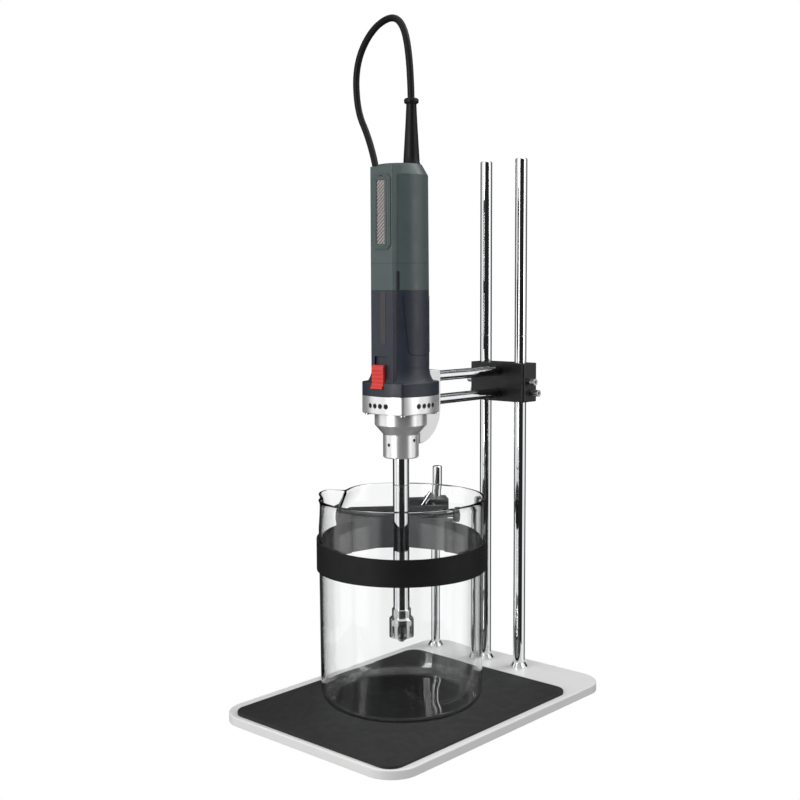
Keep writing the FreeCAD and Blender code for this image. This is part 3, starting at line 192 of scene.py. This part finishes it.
FINISHES = {
    "light_paint": plastic("plate_paint", (0.82, 0.82, 0.815), (0.38, 0.5), bump=(1200.0, 0.012),
                           edge=0.8, spread=0.012, coat=0.2),
    "mat_rubber": plastic("mat_rubber", (0.018, 0.018, 0.0185), (0.6, 0.72), bump=(2200.0, 0.04),
                          edge=0.6, spread=0.05, ior=0.35),
    "strap_rubber": plastic("strap_rubber", (0.010, 0.010, 0.0102), (0.5, 0.62), bump=(1800.0, 0.03),
                            spread=0.1, ior=0.22),
    "chrome": metal("chrome", (0.86, 0.87, 0.88), (0.045, 0.052), spread=0.015, stretch=LENGTHWAYS,
                    edge=0.0),
    "screw_steel": metal("screw_steel", (0.62, 0.62, 0.63), (0.16, 0.3), spread=0.05,
                         bump=(1600.0, 0.01)),
    "block_paint": plastic("block_paint", (0.014, 0.014, 0.015), (0.34, 0.48), bump=(1700.0, 0.02),
                           edge=0.7, spread=0.08, coat=0.1, ior=0.4),
    "holder_paint": plastic("holder_paint", (0.052, 0.052, 0.055), (0.4, 0.55), edge=0.5, spread=0.08,
                            coat=0.1),
    "bracket_metal": metal("bracket_metal", (0.98, 0.98, 0.98), (0.30, 0.33), spread=0.01, share=0.5,
                           stretch=CROSSWAYS, edge=0.5),
    "turned_metal": metal("turned_metal", (0.92, 0.92, 0.925), (0.28, 0.30), spread=0.008, share=0.75,
                          stretch=RINGS),
    "steel": metal("ground_steel", (0.66, 0.66, 0.66), (0.12, 0.24), spread=0.04, stretch=RINGS,
                   bump=(900.0, 0.004), edge=0.2),
    "front_plastic": plastic("front_plastic", (0.022, 0.028, 0.043), (0.4, 0.52), bump=(1400.0, 0.02),
                             edge=0.5, spread=0.05),
    "rear_plastic": seamed("rear_plastic", (0.074, 0.102, 0.100), (0.38, 0.52), 421.5, 0.7),
    "rear_trim": plastic("rear_trim", (0.060, 0.084, 0.083), (0.4, 0.5), bump=(1500.0, 0.01), edge=0.0),
    "line_plastic": plastic("line_plastic", (0.010, 0.011, 0.016), (0.5, 0.6), bump=(1500.0, 0.01),
                            edge=0.0, ior=0.25),
    "strip_plastic": plastic("strip_plastic", (0.050, 0.045, 0.047), (0.45, 0.55), bump=(1500.0, 0.01),
                             edge=0.2),
    "vent_plastic": plastic("vent_plastic", (0.37, 0.34, 0.33), (0.4, 0.55), edge=0.2, spread=0.08),
    "red_plastic": plastic("red_plastic", (0.74, 0.034, 0.024), (0.26, 0.36), bump=(1500.0, 0.012),
                           edge=0.35, spread=0.05, coat=0.3),
    "black_plastic": plastic("black_plastic", (0.0085, 0.0085, 0.0088), (0.4, 0.52),
                             bump=(1500.0, 0.015), spread=0.1, ior=0.22),
    "cord_rubber": plastic("cord_rubber", (0.0075, 0.0075, 0.0075), (0.45, 0.58), bump=(2500.0, 0.015),
                           edge=0.0, spread=0.12, ior=0.22),
    "knob_plastic": plastic("knob_plastic", (0.05, 0.05, 0.052), (0.4, 0.55), spread=0.08),
    "core_iron": metal("core_iron", (0.25, 0.24, 0.23), (0.4, 0.55), spread=0.12, stretch=RINGS,
                       bump=(1500.0, 0.03), edge=0.2),
    "copper": metal("copper", (0.83, 0.45, 0.27), (0.2, 0.34), spread=0.06, stretch=RINGS,
                    bump=(900.0, 0.006), edge=0.2),
    "bronze": metal("bronze", (0.62, 0.46, 0.24), (0.25, 0.4), spread=0.06, bump=(900.0, 0.01), edge=0.2),
    "carbon": plastic("carbon", (0.035, 0.035, 0.036), (0.5, 0.7), bump=(1800.0, 0.04), edge=0.2,
                      spread=0.15),
    "glass": clear("clear_glass", (0.988, 0.992, 0.992), 1.46),
}

LOOKS = {
    "light_paint": ["base_plate"],
    "mat_rubber": ["base_pad", "base_mat"],
    "strap_rubber": ["strap"],
    "chrome": ["rod_left_lower", "rod_left_upper", "rod_right_lower", "rod_right_upper", "rod_short",
               "rod_foot_cuffs", "arm_upper", "arm_lower", "shaft_tube", "boss_lever"],
    "screw_steel": ["rod_bolts", "rod_clamp_screws", "arm_grub_screws", "bracket_screws",
                    "collar_screws", "housing_screws", "holder_link"],
    "glass": ["beaker"],
    "block_paint": ["clamp_block", "collar_set_screws"],
    "holder_paint": ["holder_boss", "holder_bar", "holder_jaw"],
    "bracket_metal": ["motor_bracket"],
    "turned_metal": ["ring_flange", "collar"],
    "steel": ["stator_head", "rotor_head", "rotor_nut", "drive_shaft", "motor_shaft", "coupling",
              "bearing_lower", "bearing_upper", "bearing_neck"],
    "front_plastic": ["front_housing"],
    "rear_plastic": ["rear_housing"],
    "vent_plastic": ["vent_insert"],
    "red_plastic": ["switch_slider"],
    "black_plastic": ["cord_tie", "plug", "fan"],
    "cord_rubber": ["cord", "cord_hank"],
    "knob_plastic": ["strap_knob"],
    "core_iron": ["field_stator", "armature_core"],
    "copper": ["commutator"],
    "bronze": ["tube_bush"],
    "carbon": ["brushes"],
}
for look, names in LOOKS.items():
    for name in names:
        node = nodes[name]
        node.data.materials.clear()
        node.data.materials.append(FINISHES[look])


# Pieces made here

def piece(name, mesh, look, body, smooth=True):
    made = bpy.data.objects.new(name, mesh)
    scene.collection.objects.link(made)
    for face in mesh.polygons:
        face.use_smooth = smooth
    mesh.materials.append(FINISHES[look])
    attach(made, body)
    return made


def finished(bm, name):
    bmesh.ops.recalc_face_normals(bm, faces=bm.faces)
    mesh = bpy.data.meshes.new(name)
    bm.to_mesh(mesh)
    bm.free()
    return mesh


def lathe(name, rows, sides, shape=None, axis=AXIS):
    """Turns rows of (radius, height) in mm about an upright axis; the first and last close on it."""
    bm = bmesh.new()
    rings = []
    for radius, height in [(r * MM, z * MM) for r, z in rows]:
        if not radius:
            rings.append([bm.verts.new(axis + Vector((0, 0, height)))])
            continue
        ring = []
        for n in range(sides):
            angle = 2 * math.pi * n / sides
            r, z = (radius, height) if shape is None else shape(angle, radius, height)
            ring.append(bm.verts.new(axis + Vector((r * math.cos(angle), r * math.sin(angle), z))))
        rings.append(ring)
    for low, high in zip(rings, rings[1:]):
        for n in range(sides):
            m = (n + 1) % sides
            if len(low) == 1:
                bm.faces.new((low[0], high[m], high[n]))
            elif len(high) == 1:
                bm.faces.new((low[n], low[m], high[0]))
            else:
                bm.faces.new((low[n], low[m], high[m], high[n]))
    return finished(bm, name)


def prism(bm, corners, near, far):
    """A prism of the corners (x, z) between two depths before the motor axis, in millimetres."""
    front = [bm.verts.new((x * MM, AXIS.y - near * MM, z * MM)) for x, z in corners]
    rear = [bm.verts.new((x * MM, AXIS.y - far * MM, z * MM)) for x, z in corners]
    bm.faces.new(front)
    bm.faces.new(list(reversed(rear)))
    for n in range(len(corners)):
        m = (n + 1) % len(corners)
        bm.faces.new((front[n], rear[n], rear[m], front[m]))


def bead(name, path, radius, look, closed=False):
    """A thin round bead along points in millimetres, on the motor case."""
    curve = bpy.data.curves.new(name, "CURVE")
    curve.dimensions = "3D"
    curve.bevel_depth = radius * MM
    curve.bevel_resolution = 2
    line = curve.splines.new("POLY")
    line.points.add(len(path) - 1)
    for point, place in zip(line.points, path):
        point.co = (place[0] * MM, place[1] * MM, place[2] * MM, 1)
    line.use_cyclic_u = closed
    made = bpy.data.objects.new(name, curve)
    scene.collection.objects.link(made)
    curve.materials.append(FINISHES[look])
    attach(made, "carriage")
    return made


# The beaker. Its wall runs from the middle of the foot up the outside, over the rolled rim, down the
# inside and back to the middle. Turns at the pouring lip are in radians from its tip.
RIM, LIP_TALL = 0.2063, 0.030
LIP_TURN, LIP_OUT, LIP_MIDDLE, LIP_HALF = math.radians(194), 0.0035, 0.10, 0.34
FOLD_IN, FOLD_TURN, FLANK_START, FLANK_WIDE = 0.0150, 0.09, 0.10, 0.50
NEAR_IN, NEAR_TURN, NEAR_WIDE = 0.0035, 0.52, 0.15


def lip(angle, radius, height):
    """Draws the lip outwards, folds the wall inwards behind it and pinches it a little before it."""
    away = (angle - LIP_TURN + math.pi) % (2 * math.pi) - math.pi
    rise = max(0.0, (height - (RIM - LIP_TALL)) / LIP_TALL)
    swell = math.cos(min(1.0, abs(away - LIP_MIDDLE) / LIP_HALF) * math.pi / 2) ** 2
    out = LIP_OUT * swell * rise ** 2
    flank = -FLANK_START - FLANK_WIDE * rise ** 0.8
    if flank < away <= -FOLD_TURN:
        fold = ((away - flank) / (-FOLD_TURN - flank)) ** 1.15
    elif -FOLD_TURN < away < 0:
        fold = math.cos((away + FOLD_TURN) / FOLD_TURN * math.pi / 2) ** 2
    else:
        fold = 0.0
    near = NEAR_IN * math.exp(-(((away - NEAR_TURN) / NEAR_WIDE) ** 2)) * rise ** 1.3
    return radius + out - FOLD_IN * fold * rise ** 1.1 - near, height


WALL_OUT, WALL_IN, WALL_LEAN, LEAN_FROM = 76.95, 74.6, 0.0075, 176
outer = [(0, 13), (40, 13), (62.8, 13), (67.8, 13.9), (72.0, 16.8), (74.8, 21), (75.8, 26), (76.1, 60),
         (76.4, 110), (76.8, 160)]
outer += [(WALL_OUT + WALL_LEAN * (z - LEAN_FROM), z) for z in range(LEAN_FROM, 202, 2)]
outer += [(77.3, 202), (77.6, 203.6), (78.2, 204.7), (78.5, 205.4), (78.3, 206.1), (77.7, 206.3)]
inner = [(76.8, 206.1), (75.9, 205.1), (75.3, 203.3), (74.9, 202)]
inner += [(WALL_IN + WALL_LEAN * (z - LEAN_FROM), z) for z in range(200, LEAN_FROM - 2, -2)]
inner += [(74.4, 160), (74.0, 110), (73.7, 60), (73.4, 26), (72.5, 22.2), (70.2, 18.7), (66.8, 17),
          (62.8, 16.4), (40, 16.4), (0, 16.4)]
beaker = piece("beaker_glass", lathe("beaker_glass", outer + inner, 320, lip), "glass", "stand")
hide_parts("beaker")


# The vent: two groups of sloping slats on a back plate, each slat cut off level with its group.
def between(corners, low, high):
    """The part of a flat shape of (x, z) corners that lies between two heights."""
    for sign, limit in ((1, low), (-1, high)):
        kept = []
        for (x, z), (x2, z2) in zip(corners, corners[1:] + corners[:1]):
            if sign * (z - limit) >= 0:
                kept.append((x, z))
            if (z - limit) * (z2 - limit) < 0:
                kept.append((x + (x2 - x) * (limit - z) / (z2 - z), limit))
        corners = kept
    return corners if len(corners) > 2 else []


INSERT_LEFT, INSERT_RIGHT, INSERT_LOW, INSERT_HIGH = -2.7, 6.7, 438.6, 495.4
INSERT_BACK, INSERT_FACE, SLAT_BACK, SLAT_FACE = 26.0, 27.3, 27.2, 27.95
SLAT_RISE, SLAT_TALL, SLAT_PITCH = 7.5, 2.0, 3.3
SIDE_GAP, END_GAP, HALF_GAP, GAP_SHARE = 0.2, 0.3, 0.6, 0.47
bm = bmesh.new()
prism(bm, [(INSERT_LEFT, INSERT_LOW), (INSERT_RIGHT, INSERT_LOW), (INSERT_RIGHT, INSERT_HIGH),
           (INSERT_LEFT, INSERT_HIGH)], INSERT_FACE, INSERT_BACK)
middle = INSERT_LOW + GAP_SHARE * (INSERT_HIGH - INSERT_LOW)
left, right = INSERT_LEFT + SIDE_GAP, INSERT_RIGHT - SIDE_GAP
for low, high in ((INSERT_LOW + END_GAP, middle - HALF_GAP), (middle + HALF_GAP, INSERT_HIGH - END_GAP)):
    foot = low - SLAT_RISE
    while foot < high:
        slat = between([(left, foot), (right, foot + SLAT_RISE), (right, foot + SLAT_RISE + SLAT_TALL),
                        (left, foot + SLAT_TALL)], low, high)
        if slat:
            prism(bm, slat, SLAT_FACE, SLAT_BACK)
        foot += SLAT_PITCH
insert = piece("vent_slats", finished(bm, "vent_slats"), "vent_plastic", "carriage", False)
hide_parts("vent_insert")


# The frame round the vent, a black patch of painted shade for the recess of its slot, and the strip on the
# grip, all with cut corners.
def cut_corners(left, right, low, high, cut):
    return [(left + cut, low), (right - cut, low), (right, low + cut), (right, high - cut),
            (right - cut, high), (left + cut, high), (left, high - cut), (left, low + cut)]


def before_axis(corners, depth):
    return [(x, AXIS.y / MM - depth, z) for x, z in corners]


INNER_FRAME, INNER_DEPTH = cut_corners(-4.6, 8.8, 436.4, 498.6, 2.0), 28.05
OUTER_FRAME, OUTER_DEPTH = cut_corners(-7.6, 11.8, 434.9, 500.0, 3.2), 28.0
FRAME_BEAD = 0.32
bead("frame_bead_inner", before_axis(INNER_FRAME, INNER_DEPTH), FRAME_BEAD, "rear_trim", True)
bead("frame_bead_outer", before_axis(OUTER_FRAME, OUTER_DEPTH), FRAME_BEAD, "rear_trim", True)
# Painted shade: the slot is no recess, but a thin black prism on the frame's face that stands in for the
# shade inside it.
SLOT_SHADE, SLOT_SHADE_FACE, SLOT_SHADE_BACK = cut_corners(0.2, 4.2, 499.2, 500.2, 0.3), 28.15, 27.9
bm = bmesh.new()
prism(bm, SLOT_SHADE, SLOT_SHADE_FACE, SLOT_SHADE_BACK)
piece("frame_slot_shade", finished(bm, "frame_slot_shade"), "black_plastic", "carriage", False)
STRIP, STRIP_FACE, STRIP_BACK = cut_corners(0.4, 6.7, 349.0, 396.4, 0.9), 27.42, 27.0
bm = bmesh.new()
prism(bm, STRIP, STRIP_FACE, STRIP_BACK)
piece("grip_strip", finished(bm, "grip_strip"), "strip_plastic", "carriage", False)


# The contour line on the barrel, and a dark bead of painted shade along the corner where the keel meets
# the barrel.
def on_barrel(turn, height, radius):
    angle = math.radians(turn)
    return (radius * math.cos(angle), AXIS.y / MM + radius * math.sin(angle), height)


KNOTS = [(-43, 392), (-41, 380), (-37, 362), (-33.5, 346), (-31.5, 341.6), (-25, 339.4), (-15, 338.6),
         (-5, 338.4), (8, 338.8), (22, 339.6), (34, 340.6), (42, 341.2), (44, 344), (46, 362), (48, 392)]
LINE_DEEP, LINE_BEAD = 26.5, 0.38
CORNER_SHADE_TURN, CORNER_SHADE_HEIGHTS, CORNER_SHADE_DEEP, CORNER_SHADE_BEAD = -51.5, (398, 404, 410, 414.5), 26.7, 0.55
contour = [on_barrel(turn, height, LINE_DEEP) for turn, height in KNOTS]
bead("grip_line", contour, LINE_BEAD, "line_plastic")
# Painted shade: a black bead laid along the keel's corner, so that the corner looks darker as if shade
# fell there.
corner_shade_path = [on_barrel(CORNER_SHADE_TURN, height, CORNER_SHADE_DEEP) for height in CORNER_SHADE_HEIGHTS]
bead("corner_shade_line", corner_shade_path, CORNER_SHADE_BEAD, "line_plastic")


# The strain relief: a smooth taper on a foot, with a ring at its top.
RELIEF_AT = Vector((0, -0.009, 0))
RELIEF = [(0, 511.9), (8.1, 511.9), (8.3, 512.6), (8.1, 513.6), (7.6, 514.2), (7.3, 520), (6.4, 535),
          (5.4, 552), (4.7, 566.6), (5.0, 567.4), (6.3, 567.9), (6.75, 568.8), (6.75, 571.0), (6.2, 571.9),
          (5.2, 572.4), (3.9, 572.4), (3.4, 571.6), (3.1, 570), (0, 570)]
sleeve = lathe("relief_taper", RELIEF, 48, None, RELIEF_AT)
relief = piece("relief_taper", sleeve, "black_plastic", "carriage")
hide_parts("strain_relief")


# The cord: the run over the motor, then four turns folded behind it, then the plug.
ROUTE = [(0, -9, 552), (-0.6, -8.4, 608), (-19.5, -2.0, 653), (-66.5, 12.0, 651), (-95, 16, 620),
         (-97, 19.4, 574.9), (-81.4, 20.0, 546.4), (-60, 9.7, 508.3), (-56.8, 8.1, 466)]
HANK, HANK_TURN = Vector((-30.9, 9.1, 414)), math.radians(42.1)
FOLD, RUN, DIAMETER = 20.0, 60.0, 6.5
LANES = [DIAMETER * (1.5 - n) for n in range(4)]
LEAD_IN = ((12.5, 20), (LANES[0] + 0.6, -20), (LANES[0], -42))
PLUG_IN, PLUG_DROP, PLUG_END = (14.5, 27.9), 4, -57
ACROSS = Vector((math.cos(HANK_TURN), math.sin(HANK_TURN), 0))
BEHIND = Vector((-ACROSS.y, ACROSS.x, 0))


def strand(x, y, z):
    """A point of the hank, from its middle: across it, to the back and up."""
    return tuple(HANK + ACROSS * x + BEHIND * y + Vector((0, 0, z)))


def half_circle(start, end, height):
    """Six corners round a half circle that hangs from start to end, or stands on them."""
    span = Vector(end) - Vector(start)
    radius = span.length / 2
    reach = radius / math.cos(math.radians(15))
    ahead = span.normalized()
    corners = []
    for step in (15, 45, 75, 105, 135, 165):
        along = radius - reach * math.cos(math.radians(step))
        away = reach * math.sin(math.radians(step))
        if height < 0:
            away = -away
        corners.append(strand(start[0] + ahead.x * along, start[1] + ahead.y * along, height + away))
    return corners


points = list(ROUTE) + [strand(-FOLD, y, z) for y, z in LEAD_IN]
for here, after in zip(LANES, LANES[1:]):
    points += half_circle((-FOLD, here), (FOLD, here), -RUN)
    points += [strand(FOLD, here, -RUN / 2), strand(FOLD, here, RUN / 2)]
    points += half_circle((FOLD, here), (-FOLD, here), RUN)
    points += [strand(-FOLD, here, 0.7 * RUN), strand(-FOLD, after, -0.7 * RUN)]
points += half_circle((-FOLD, LANES[-1]), PLUG_IN, -RUN - PLUG_DROP)
points.append(strand(PLUG_IN[0], PLUG_IN[1], PLUG_END))
curve = bpy.data.curves.new("cord_line", "CURVE")
curve.dimensions = "3D"
curve.bevel_depth = DIAMETER / 2 * MM
curve.bevel_resolution = 6
curve.resolution_u = 8
curve.use_fill_caps = True
line = curve.splines.new("NURBS")
line.points.add(len(points) - 1)
for point, place in zip(line.points, points):
    point.co = (place[0] * MM, place[1] * MM, place[2] * MM, 1)
line.order_u = 3
line.use_endpoint_u = True
cord = bpy.data.objects.new("cord_line", curve)
scene.collection.objects.link(cord)
curve.materials.append(FINISHES["cord_rubber"])
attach(cord, "carriage")
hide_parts("cord", "cord_hank")


# Camera
CAMERA_AT = Vector((0.72563, -0.82875, 0.39689))
bearing, slope, roll = math.radians(42.11), math.radians(4.90), math.radians(-0.213)
back = Vector((math.sin(bearing) * math.cos(slope), -math.cos(bearing) * math.cos(slope), math.sin(slope)))
level = Vector((math.cos(bearing), math.sin(bearing), 0))
right = level * math.cos(roll) + back.cross(level) * math.sin(roll)
upward = back.cross(right)
camera = bpy.data.objects.new("camera", bpy.data.cameras.new("camera"))
scene.collection.objects.link(camera)
camera.matrix_world = Matrix((
    (right.x, upward.x, back.x, CAMERA_AT.x), (right.y, upward.y, back.y, CAMERA_AT.y),
    (right.z, upward.z, back.z, CAMERA_AT.z), (0, 0, 0, 1)))
camera.data.sensor_width = 36.0
camera.data.lens = 52.88
camera.data.shift_y = -0.0106
camera.data.clip_start = 0.01
camera.data.clip_end = 50
scene.camera = camera


# Light: a white room with dark flags for the metal, seen white by itself, and three soft lamps.
# Stops are (share of the turn or of the height, brightness), starting at the back left and below.
ROOM_TURN = math.radians(47.9)
FLAGS = [(0.0, 0.03), (0.195, 0.03), (0.21, 1.0), (0.29, 1.05), (0.305, 0.5), (0.325, 1.05),
         (0.405, 1.1), (0.43, 0.02), (0.63, 0.02), (0.655, 1.1), (0.70, 1.1), (0.715, 0.55),
         (0.735, 1.0), (0.785, 1.0), (0.80, 0.03), (1.0, 0.03)]
BANDS = [(0.0, 1.0), (0.19, 1.0), (0.21, 0.12), (0.33, 0.12), (0.35, 1.0), (1.0, 1.0)]
CEILING_FROM, CEILING_FULL = 0.55, 0.9
ROOM_LIGHT = 0.95
world = bpy.data.worlds.new("studio")
scene.world = world
world.use_nodes = True
tree = world.node_tree
tree.nodes.clear()


def add(kind, **settings):
    made = tree.nodes.new("ShaderNode" + kind)
    for key, value in settings.items():
        setattr(made, key, value)
    return made


def ramp(source, stops):
    """The grey of a colour ramp with the given stops."""
    made = add("ValToRGB")
    elements = made.color_ramp.elements
    for element, (position, value) in ((elements[0], stops[0]), (elements[1], stops[-1])):
        element.position = position
        element.color = (value, value, value, 1)
    for position, value in stops[1:-1]:
        elements.new(position).color = (value, value, value, 1)
    tree.links.new(source, made.inputs[0])
    return made.outputs[0]


def share(source, low, high):
    """How far a value has come from low to high, between 0 and 1."""
    made = add("MapRange")
    made.inputs["From Min"].default_value = low
    made.inputs["From Max"].default_value = high
    tree.links.new(source, made.inputs["Value"])
    return made.outputs[0]


def both(operation, first, second):
    made = add("Math", operation=operation)
    tree.links.new(first, made.inputs[0])
    tree.links.new(second, made.inputs[1])
    return made.outputs[0]


spun = add("VectorRotate", rotation_type="Z_AXIS")
spun.inputs["Angle"].default_value = ROOM_TURN
tree.links.new(add("TexCoord").outputs["Generated"], spun.inputs["Vector"])
split = add("SeparateXYZ")
tree.links.new(spun.outputs[0], split.inputs[0])
angle = both("ARCTAN2", split.outputs[1], split.outputs[0])
domed = add("Mix", data_type="RGBA")
domed.inputs[7].default_value = (1.0, 1.0, 1.0, 1)
tree.links.new(share(split.outputs[2], CEILING_FROM, CEILING_FULL), domed.inputs[0])
tree.links.new(ramp(share(angle, -math.pi, math.pi), FLAGS), domed.inputs[6])
shaded = add("Mix", data_type="RGBA", blend_type="MULTIPLY")
shaded.inputs[0].default_value = 1.0
tree.links.new(domed.outputs[2], shaded.inputs[6])
tree.links.new(ramp(share(split.outputs[2], -1.0, 1.0), BANDS), shaded.inputs[7])
room = add("Background")
room.inputs["Strength"].default_value = ROOM_LIGHT
tree.links.new(shaded.outputs[2], room.inputs["Color"])
white = add("Background")
white.inputs["Color"].default_value = (1, 1, 1, 1)
white.inputs["Strength"].default_value = 1.0
path = add("LightPath")
straight = add("Math", operation="LESS_THAN")
straight.inputs[1].default_value = 0.5
tree.links.new(path.outputs["Glossy Depth"], straight.inputs[0])
through = both("MULTIPLY", path.outputs["Is Transmission Ray"], straight.outputs[0])
seen = both("MAXIMUM", path.outputs["Is Camera Ray"], through)
choice = add("MixShader")
tree.links.new(seen, choice.inputs[0])
tree.links.new(room.outputs[0], choice.inputs[1])
tree.links.new(white.outputs[0], choice.inputs[2])
final = add("OutputWorld")
tree.links.new(choice.outputs[0], final.inputs["Surface"])


def lamp(name, where, at, size, power):
    """A soft lamp at a place, turned to a point; sizes in metres, power in watts."""
    data = bpy.data.lights.new(name, "AREA")
    data.shape = "RECTANGLE"
    data.size, data.size_y = size
    data.energy = power
    made = bpy.data.objects.new(name, data)
    scene.collection.objects.link(made)
    made.location = where
    made.rotation_mode = "QUATERNION"
    made.rotation_quaternion = (Vector(at) - Vector(where)).to_track_quat("-Z", "Y")


lamp("key", (0.6, 1.0, 1.9), at=(0, 0, 0.2), size=(0.6, 1.2), power=12)
lamp("fill", (0.0, -1.5, 0.6), at=(0, 0, 0.3), size=(0.3, 1.2), power=9)
lamp("side", (1.42, 0.4, 0.8), at=(0, 0, 0.35), size=(0.3, 1.2), power=4)

scene.render.engine = "CYCLES"
scene.render.resolution_x = 800
scene.render.resolution_y = 800
scene.cycles.samples = 160
scene.cycles.max_bounces = 24
scene.cycles.transmission_bounces = 20
scene.cycles.transparent_max_bounces = 16
scene.cycles.glossy_bounces = 8
scene.cycles.caustics_reflective = False
scene.cycles.use_denoising = True
scene.view_settings.view_transform = "Standard"
